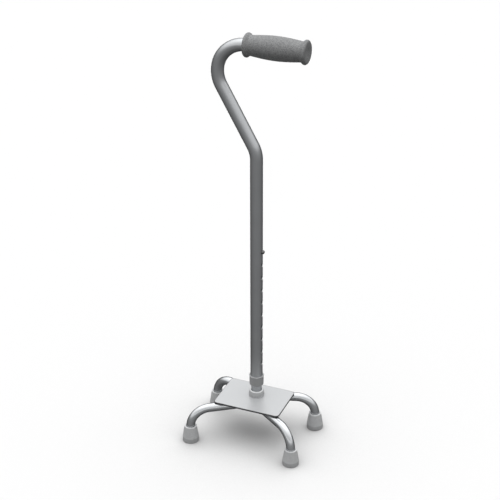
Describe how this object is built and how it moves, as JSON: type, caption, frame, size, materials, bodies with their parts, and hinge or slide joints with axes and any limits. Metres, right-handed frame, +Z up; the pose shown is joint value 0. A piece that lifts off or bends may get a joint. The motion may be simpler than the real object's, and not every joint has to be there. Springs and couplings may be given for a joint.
{
  "type": "quad cane",
  "caption": "Walking stick with a gooseneck handle tube that telescopes and turns on a stem, standing on a low plate with splayed rubber-tipped legs.",
  "frame": {"origin": "on the floor, midway between the four feet", "axes": "+Z up along the stem, +X along the grip from its open end to its closed end, +Y from the front feet to the back feet, which are nearer the stem"},
  "size_m": [0.2266, 0.1546, 0.78],
  "materials": {
    "satin_tube": "satin grey anodised",
    "bright_tube": "polished plating",
    "plate_paint": "pale grey satin powder coat",
    "zinc_steel": "zinc plated",
    "button_steel": "plain spring steel",
    "tip_rubber": "matte moulded grey",
    "boot_rubber": "matte moulded grey",
    "collar_plastic": "smooth moulded grey",
    "inner_plastic": "smooth moulded grey",
    "grip_foam": "fine-grained closed-cell foam"
  },
  "bodies": {
    "base": {"base_plate": "plate_paint", "front_leg_tube": "bright_tube", "back_leg_tube": "bright_tube", "stem_tube": "bright_tube", "stem_glide": "inner_plastic", "stem_plug": "zinc_steel", "stem_bolt": "zinc_steel", "stem_lock_washer": "zinc_steel", "stem_bolt_washer": "zinc_steel", "stem_boot": "boot_rubber", "button_spring": "button_steel", "tip_front_left": "tip_rubber", "tip_front_right": "tip_rubber", "tip_back_left": "tip_rubber", "tip_back_right": "tip_rubber", "tip_washer_front_left": "zinc_steel", "tip_washer_front_right": "zinc_steel", "tip_washer_back_left": "zinc_steel", "tip_washer_back_right": "zinc_steel"},
    "sleeve": {"squeeze_ring": "inner_plastic"},
    "handle": {"handle_tube": "satin_tube", "hand_grip": "grip_foam"},
    "collar": {"lock_collar": "collar_plastic"},
    "button": {"snap_button": "button_steel"}
  },
  "joints": [
    {"name": "height_slide", "type": "slide", "parent": "base", "child": "sleeve", "axis": [0, 0, 1], "range_m": [0, 0.2286], "deforming": ["snap_button", "button_spring"]},
    {"name": "handle_turn", "type": "hinge", "parent": "sleeve", "child": "handle", "pos_m": [0, 0.0165, 0.2], "axis": [0, 0, 1], "range_deg": [0, 180]},
    {"name": "collar_twist", "type": "hinge", "parent": "handle", "child": "collar", "pos_m": [0, 0.0165, 0.108], "axis": [0, 0, 1], "range_deg": [0, 360]},
    {"name": "button_press", "type": "slide", "parent": "base", "child": "button", "axis": [-1, 0, 0], "range_m": [0, 0.0058], "stiffness_N_per_m": 1500, "springref_m": -0.002}
  ]
}
